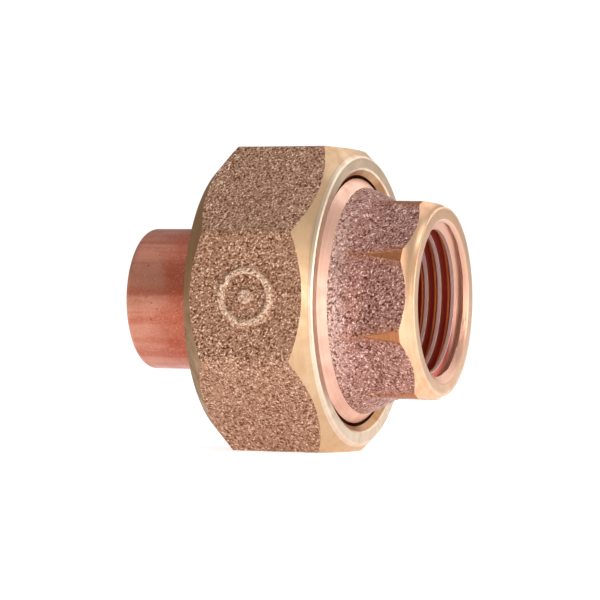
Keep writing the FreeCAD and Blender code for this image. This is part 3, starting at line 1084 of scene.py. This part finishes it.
@dataclass
class ThreadedAdapter:
    """Cast adapter: octagon wrench section, domed shoulder, collar and two threads."""

    length: float = 20.6
    flats: float = 25.3
    turn: float = 2.0
    rounding: float = 0.3
    face_r: float = 12.25
    face_break: float = 0.15
    face_ease: tuple[float, float] = (0.03, 0.04)
    chamfer: float = 1.75
    chamfer_hollow: float = 1.8
    chamfer_rows: int = 9
    skim_r: float = 13.38
    skim_end: float = 7.0
    skim_spread: float = 1.6
    wrench_rows: int = 58
    shoulder_start: float = 10.7
    shoulder_r: float = 14.74
    dome_r: float = 9.0
    dome_end: tuple[float, float] = (6.6, 12.5)
    dome_blend: float = 0.55
    # Painted highlight band on the shoulder: where it starts and where it is full, back from
    # the end face.
    highlight_reach: tuple[float, float] = (8.4, 10.4)
    # Its strength at mid height, its fall towards top and bottom, and its least strength.
    highlight_spread: tuple[float, float, float] = (1.15, 1.2, 0.25)
    collar_start: float = 11.9
    collar_r: float = 15.95
    collar_end: float = 13.0
    undercut_end: float = 14.8
    undercut_r: float = 14.9
    shoulder_slope: float = 12.0
    lead: float = 0.8
    mouth_r: float = 10.6
    mouth_break: float = 0.1
    mouth_at: float = 0.02
    crest_r: float = 9.316
    bore_thread_start: float = 0.05
    bore_thread_end: float = 12.5
    waterway_r: float = 7.5
    waterway_start: float = 14.3
    waterway_lead: float = 0.2
    outside: int = 512
    inside: int = 256
    union_thread: Screw = Screw(1, 1.5, -20.441, 15.95, 15.03, 0.65625, 0.1251, 1.5 / 16)
    pipe_thread: Screw = Screw(2, 1.8143, 1.191, 9.316, 10.48, 0.677, 0.071, 1.8143 / 20,
                               (-11.2, -9.4))

    def dome(self, back: Profile) -> Profile:
        """The shoulder's radius at a distance behind the end face."""
        start = np.array([-self.dome_end[0], self.dome_end[1]])
        end = np.array([-self.shoulder_start, self.shoulder_r])
        chord = end - start
        span = np.hypot(*chord)
        left = np.array([-chord[1], chord[0]]) / span
        centre = (start + end) / 2 + left * math.sqrt(self.dome_r**2 - span**2 / 4)
        reach = self.dome_r**2 - (-back - centre[0])**2
        return centre[1] + np.sqrt(np.maximum(reach, 0))

    def wrench(self, shell: Shell, datum_r: float) -> None:
        """Lay the end chamfer, the octagon with its skimmed corners, and the shoulder."""
        out = self.outside
        octagon = octagon_radius(shell.angles(out) - shell.turn, self.flats, self.rounding)
        corner = self.flats / 2 / math.cos(HALF_SIDE)
        skim_slope = (corner - self.skim_r) / (self.skim_end - self.chamfer)
        rise = self.skim_r - self.face_r
        edge_r = np.minimum(octagon, self.skim_r)
        reach = ((edge_r - self.face_r) / rise) ** (1 / self.chamfer_hollow)
        edge = (self.chamfer * reach, edge_r)
        shell.band(out, (0.0, datum_r), (0.0, self.face_r - self.face_break), 5, Zone.TURNED)
        back, inward = self.face_ease
        shell.ring(out, back, self.face_r - inward, Zone.CHAMFER)
        for i in range(1, self.chamfer_rows):
            t = reach * i / self.chamfer_rows
            shell.ring(out, self.chamfer * t, self.face_r + rise * t**self.chamfer_hollow,
                       Zone.CHAMFER)
        for i in range(self.wrench_rows):
            t = i / self.wrench_rows
            back = edge[0] * (1 - t) + self.shoulder_start * t
            cutter = self.skim_r + (back - self.chamfer) * skim_slope
            wall = np.minimum(octagon, np.maximum(cutter, edge_r))
            dome = self.dome(back)
            radius = soft_upper(wall, dome, self.dome_blend)
            shell.ring(out, back, radius, Zone.CAST, cast=1.0,
                       skim=(octagon - cutter) * self.skim_spread, sharp=i == 0)
        start = (self.shoulder_start, self.shoulder_r)
        shell.band(out, start, (self.collar_start, self.collar_r), 6, Zone.COLLAR)

    def shape(self) -> Shell:
        """Lay the rings of the adapter's skin."""
        shell = Shell("adapter_casting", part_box("adapter_body")[1].x / MM,
                      math.radians(self.turn))
        half = self.inside
        self.wrench(shell, self.mouth_r + self.mouth_break)
        collar, undercut, collar_r = self.collar_end, self.undercut_r, self.collar_r
        shell.band(self.outside, (self.collar_start, collar_r), (collar, collar_r), 3,
                   Zone.COLLAR)
        shell.path(half, (
            (collar, collar_r, 3, Zone.BORE),
            (collar, undercut, 4, Zone.BORE)), (self.undercut_end, undercut))
        row = self.union_thread.row
        for i in range(round((self.length - self.undercut_end) / row)):
            back = self.undercut_end + i * row
            radius = min(collar_r, collar_r - self.lead + self.length - back,
                         undercut + (back - self.undercut_end) * self.shoulder_slope)
            shell.ring(half, back, radius, Zone.THREAD, screw=1)
        shell.path(half, (
            (self.length, collar_r - self.lead, 8, Zone.TURNED),
            (self.length, self.waterway_r + self.waterway_lead, 6, Zone.BORE),
            (self.waterway_start, self.waterway_r, 4, Zone.BORE)),
            (self.bore_thread_end, self.crest_r))
        row = self.pipe_thread.row
        for i in range(round((self.bore_thread_end - self.bore_thread_start) / row)):
            back = self.bore_thread_end - i * row
            radius = max(self.crest_r, self.mouth_r - back)
            shell.ring(half, back, radius, Zone.THREAD, screw=2)
        shell.ring(half, self.mouth_at, self.mouth_r, Zone.TURNED)
        return shell

    def shoulder_highlight(self, shell: Shell) -> np.ndarray:
        """How strongly each vertex of the shoulder gets a painted highlight band, 0 to 1."""
        points = shell.points() / MM
        start, full = self.highlight_reach
        highlight_reach = np.clip((shell.datum - points[:, 0] - start) / (full - start), 0, 1)
        most, fall, least = self.highlight_spread
        high = points[:, 2] / self.shoulder_r
        # The painted highlight band is strongest at mid height and weaker towards top and
        # bottom.
        return highlight_reach * np.clip(most - high**2 * fall, least, 1)

    def build(self, finishes: dict[Zone, bpy.types.Material]) -> bpy.types.Object:
        """Make the adapter and seat it."""
        shell = self.shape()
        piece = shell.build()
        # The band is stored as the highlight mask, which the cast skin paints as a highlight.
        store(piece.data, "highlight_mask", self.shoulder_highlight(shell))
        SkinTree("adapter_skin", finishes, (self.union_thread, self.pipe_thread), grain=0.42,
                 depth=0.06, sweep=0.06, seed=9.0).apply(piece)
        seat(piece, Body.ADAPTER, "adapter_body")
        return piece


@dataclass
class CopperTail:
    """Copper tube with a solder socket and a rounded rim."""

    length: float = 17.0
    outer_r: float = 9.35
    socket_r: float = 7.975
    rim: float = 0.8
    edge: float = 0.4
    around: int = 256
    rim_steps: int = 8

    def build(self, finish: bpy.types.Material) -> bpy.types.Object:
        """Make the tail and seat it."""
        n = self.around
        shell = Shell("tail_tube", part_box("copper_tail")[1].x / MM)
        body_end = self.length - self.rim
        shell.path(n, (
            (0.0, self.socket_r, 3, Zone.CAST),
            (0.0, self.outer_r, 40, Zone.CAST)), (body_end, self.outer_r))
        for i in range(self.rim_steps + 1):
            a = math.pi / 2 * i / self.rim_steps
            shell.ring(n, body_end + self.rim * math.sin(a),
                       self.outer_r - self.rim * (1 - math.cos(a)), Zone.CAST)
        shell.path(n, (
            (self.length, self.socket_r + self.edge, 3, Zone.CAST),
            (self.length - self.edge, self.socket_r, 30, Zone.CAST)), (0.0, self.socket_r))
        piece = shell.build()
        SkinTree("tail_skin", {Zone.CAST: finish}, depth=0.0, sweep=0.0).apply(piece)
        seat(piece, Body.TAIL, "copper_tail")
        return piece


@dataclass
class SeatCollar:
    """Turned bronze collar: a flat seat for the packing and a hub round the tail."""

    thickness: float = 3.25
    seat_r: float = 14.9
    bore_r: float = 7.1
    web: float = 1.6
    hub_r: float = 11.25
    hub_end: float = 6.9
    tail_r: float = 9.35
    edge: float = 0.4
    small_edge: float = 0.2
    bore_edge: float = 0.15
    around: int = 256

    def build(self, finish: bpy.types.Material) -> bpy.types.Object:
        """Make the collar and seat it."""
        n = self.around
        shell = Shell("seat_collar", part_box("tail_collar")[1].x / MM)
        seat_r, hub_r, small = self.seat_r, self.hub_r, self.small_edge
        corners = (
            (0.0, self.bore_r + self.bore_edge, 10),
            (0.0, seat_r - self.edge, 2),
            (self.edge, seat_r, 5),
            (self.thickness, seat_r, 6),
            (self.thickness, hub_r, 6),
            (self.hub_end - small, hub_r, 2),
            (self.hub_end, hub_r - small, 3),
            (self.hub_end, self.tail_r, 8),
            (self.web, self.tail_r, 4),
            (self.web, self.bore_r, 4),
            (self.bore_edge, self.bore_r, 2))
        shell.path(n, tuple((*corner, Zone.CAST) for corner in corners), corners[0][:2])
        piece = shell.build()
        SkinTree("collar_skin", {Zone.CAST: finish}, depth=0.0, sweep=0.0).apply(piece)
        seat(piece, Body.TAIL, "tail_collar")
        return piece


@dataclass
class BrazeBead:
    """Hollow-faced, slightly lumpy bead of braze between the tail and the hub."""

    leg: float = 1.0
    tail_r: float = 9.35
    hollow: float = 0.16
    lean: float = 0.7
    foot: float = 0.02
    around: int = 256
    steps: int = 10

    def build(self, finish: bpy.types.Material) -> bpy.types.Object:
        """Make the bead and seat it."""
        n = self.around
        shell = Shell("braze_bead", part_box("braze_fillet")[1].x / MM)
        shell.band(n, (0.0, self.tail_r), (0.0, self.tail_r + self.leg), 4, Zone.CAST)
        for i in range(self.steps + 1):
            t = i / self.steps
            dip = self.hollow * math.sin(math.pi * t)
            back = self.leg * t - dip * self.lean * t
            shell.ring(n, back, self.tail_r + self.leg * (1 - t) - dip, Zone.CAST,
                       cast=math.sin(math.pi * t), sharp=i in (0, self.steps))
        shell.band(n, (self.leg - self.foot, self.tail_r), (self.foot, self.tail_r), 3,
                   Zone.CAST)
        piece = shell.build()
        SkinTree("braze_skin", {Zone.CAST: finish}, grain=0.9, depth=0.16, sweep=0.2,
                 seed=2.0).apply(piece)
        seat(piece, Body.TAIL, "braze_fillet")
        return piece


@dataclass
class PackingRing:
    """The flat packing ring, which keeps its CAD shape."""

    def build(self, finish: bpy.types.Material) -> bpy.types.Object:
        """Dress the ring."""
        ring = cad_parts["gasket"]
        ring.data.materials.clear()
        ring.data.materials.append(finish)
        log.info("gasket: CAD shape kept")
        return ring


@dataclass(frozen=True)
class Lamp:
    """A soft box that shines at the fitting from far enough to stay out of its way.

    Attributes:
        name: The lamp's name.
        azimuth: Degrees round from -Y towards +X.
        elevation: Degrees above level.
        distance: Metres from the fitting.
        size: Width and height, in metres.
        power: Watts.
        colour: The light's colour.
    """

    name: str
    azimuth: float
    elevation: float
    distance: float
    size: tuple[float, float]
    power: float
    colour: Colour = (1.0, 1.0, 1.0)

    def place(self, target: Vector) -> None:
        """Hang the lamp and turn it to the target."""
        data = bpy.data.lights.new(self.name, "AREA")
        data.shape = "RECTANGLE"
        data.size, data.size_y = self.size
        data.energy = self.power
        data.color = self.colour
        lamp = bpy.data.objects.new(self.name, data)
        a, e = math.radians(self.azimuth), math.radians(self.elevation)
        way = Vector((math.sin(a) * math.cos(e), -math.cos(a) * math.cos(e), math.sin(e)))
        lamp.location = target + way * self.distance
        lamp.rotation_euler = way.to_track_quat("Z", "Y").to_euler()
        lamp.visible_camera = False
        bpy.context.scene.collection.objects.link(lamp)


@dataclass
class Studio:
    """Pale floor, a white backdrop in a dimmer room, soft boxes and the camera."""

    floor_z: float = -19.7
    floor_size: float = 6.0
    middle: tuple[float, float, float] = (-16.08, 0.0, 0.0)
    azimuth: float = 20.98
    elevation: float = -0.98
    roll: float = 0.97
    distance: float = 370.4
    aim_left: float = 2.395
    lens: float = 169.3
    sensor: float = 36.0
    clip: float = 0.01
    room_level: Colour = (0.37, 0.31, 0.26)
    room_top: Colour = (0.48, 0.49, 0.50)
    room_rise: tuple[float, float] = (0.16, 0.80)
    room_power: float = 1.06
    lamps: tuple[Lamp, ...] = (
        Lamp("key_box", 66.0, 2.0, 0.7, (0.12, 0.14), 0.50),
        Lamp("front_box", 20.0, 2.0, 0.9, (0.20, 0.50), 1.1),
        Lamp("back_box", 152.0, 34.0, 0.9, (0.7, 0.6), 1.7),
        Lamp("bore_box", 92.0, 8.0, 0.7, (0.30, 0.40), 1.8),
        Lamp("top_box", 10.0, 78.0, 0.9, (0.6, 0.4), 1.8, (0.95, 0.98, 1.0)),
        Lamp("left_box", -74.0, 2.0, 0.8, (0.2, 0.4), 0.3, (1.0, 0.90, 0.80)),
    )

    def surround(self) -> None:
        """A white backdrop to look at, and a dimmer, warmer room to be reflected."""
        world = bpy.data.worlds.new("studio_surround")
        world.use_nodes = True
        bpy.context.scene.world = world
        graph = Graph(world.node_tree)
        way = graph.out(graph.node("ShaderNodeTexCoord"), "Generated")
        _, _, up = graph.split(way)
        height = graph.ramp(abs(up), *self.room_rise)
        room = graph.blend(height, self.room_level, self.room_top)
        seen = graph.out(graph.node("ShaderNodeLightPath"), "Is Camera Ray")
        background = world.node_tree.nodes["Background"]
        graph.plug(background.inputs["Color"], graph.blend(seen, room, (1.0, 1.0, 1.0)))
        background.inputs["Strength"].default_value = self.room_power

    def floor(self) -> None:
        """A broad sheet of pale paper that the fitting lies on."""
        half = self.floor_size / 2
        z = self.floor_z * MM
        mesh = bpy.data.meshes.new("studio_floor")
        mesh.from_pydata([(-half, -half, z), (half, -half, z), (half, half, z),
                          (-half, half, z)], [], [(0, 1, 2, 3)])
        floor = bpy.data.objects.new("studio_floor", mesh)
        mesh.materials.append(StudioPaper().make())
        bpy.context.scene.collection.objects.link(floor)

    def camera(self) -> None:
        """Set the camera up level with the fitting, turned to show its threaded end."""
        theta, e, r = (math.radians(v) for v in (self.azimuth, self.elevation, self.roll))
        right = Vector((math.cos(theta), math.sin(theta), 0))
        ahead = Vector((-math.sin(theta), math.cos(theta), 0))
        up = Vector((0, 0, 1))
        forward = ahead * math.cos(e) - up * math.sin(e)
        upward = ahead * math.sin(e) + up * math.cos(e)
        target = (Vector(self.middle) - right * self.aim_left) * MM
        side = right * math.cos(r) + upward * math.sin(r)
        top = upward * math.cos(r) - right * math.sin(r)
        turn = Matrix((side, top, -forward)).transposed()
        data = bpy.data.cameras.new("camera")
        data.lens = self.lens
        data.sensor_width = self.sensor
        data.clip_start = self.clip
        camera = bpy.data.objects.new("camera", data)
        camera.matrix_world = Matrix.Translation(
            target - forward * self.distance * MM) @ turn.to_4x4()
        bpy.context.scene.collection.objects.link(camera)
        bpy.context.scene.camera = camera

    def build(self) -> None:
        """Set up the whole studio."""
        self.surround()
        self.floor()
        self.camera()
        for lamp in self.lamps:
            lamp.place(Vector(self.middle) * MM)
        bpy.context.scene.view_settings.view_transform = "Standard"
        log.info("studio: %d soft boxes", len(self.lamps))


def nut_finishes() -> dict[Zone, bpy.types.Material]:
    """The nut's finish in each zone."""
    return {
        Zone.CAST: CastSkin("nut_cast_skin", linear(100, 62, 44), linear(176, 132, 106),
                            linear(252, 218, 190)).make(),
        Zone.TURNED: TurnedMetal("nut_turned_face", linear(226, 206, 182),
                                 linear(186, 148, 116), 0.38).make(),
        Zone.CHAMFER: TurnedMetal("nut_turned_cone", linear(208, 174, 138),
                                  linear(188, 146, 106), 0.40).make(),
        # The back chamfer and back face get a darker, olive copy of the turned bronze: painted
        # shade.
        Zone.BACK: TurnedMetal("nut_back_painted_shade", linear(150, 112, 70),
                               linear(112, 80, 48), 0.46).make(),
        Zone.BORE: TurnedMetal("nut_bore", linear(186, 142, 100), linear(140, 98, 66),
                               0.36).make(),
        Zone.THREAD: TurnedMetal("nut_thread", linear(196, 146, 108), linear(150, 98, 70),
                                 0.32, brushed=0.2).make(),
    }


def adapter_finishes() -> dict[Zone, bpy.types.Material]:
    """The adapter's finish in each zone."""
    return {
        Zone.CAST: CastSkin("adapter_cast_skin", linear(92, 54, 48), linear(172, 124, 112),
                            linear(250, 216, 204), 0.27 * MM).make(),
        Zone.TURNED: TurnedMetal("adapter_turned_face", linear(224, 190, 160),
                                 linear(196, 148, 118), 0.40).make(),
        Zone.CHAMFER: TurnedMetal("adapter_turned_chamfer", linear(236, 194, 156),
                                  linear(212, 146, 104), 0.38).make(),
        Zone.BORE: TurnedMetal("adapter_bore", linear(212, 172, 146), linear(170, 124, 98),
                               0.38).make(),
        Zone.THREAD: CutThread("adapter_thread", linear(248, 186, 128), linear(190, 92, 74),
                               linear(226, 196, 190), 9.36 * MM, 10.42 * MM,
                               linear(204, 158, 132), -0.5 * MM).make(),
        Zone.COLLAR: TurnedMetal("adapter_collar", linear(232, 188, 166),
                                 linear(202, 146, 126), 0.38).make(),
    }


def main() -> None:
    """Build every piece, then the studio."""
    logging.basicConfig(level=logging.INFO, format="%(message)s")
    Studio().build()
    UnionNut().build(nut_finishes())
    ThreadedAdapter().build(adapter_finishes())
    tail_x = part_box("copper_tail")
    red_full_behind, red_gone_before = 9 * MM, 3 * MM
    copper = DrawnCopper("tail_copper", linear(196, 130, 108), linear(168, 78, 54),
                         linear(110, 44, 34), tail_x[1].x - red_full_behind,
                         tail_x[0].x + red_gone_before)
    CopperTail().build(copper.make())
    SeatCollar().build(TurnedMetal("collar_turned", linear(222, 186, 136),
                                   linear(180, 130, 88)).make())
    BrazeBead().build(CastSkin("braze_metal", linear(150, 110, 74), linear(214, 176, 120),
                               linear(246, 226, 180), 0.8 * MM, 0.05 * MM).make())
    PackingRing().build(PackingFibre("packing_fibre", linear(146, 66, 52),
                                     linear(196, 128, 104)).make())


if __name__ == "__main__":
    main()
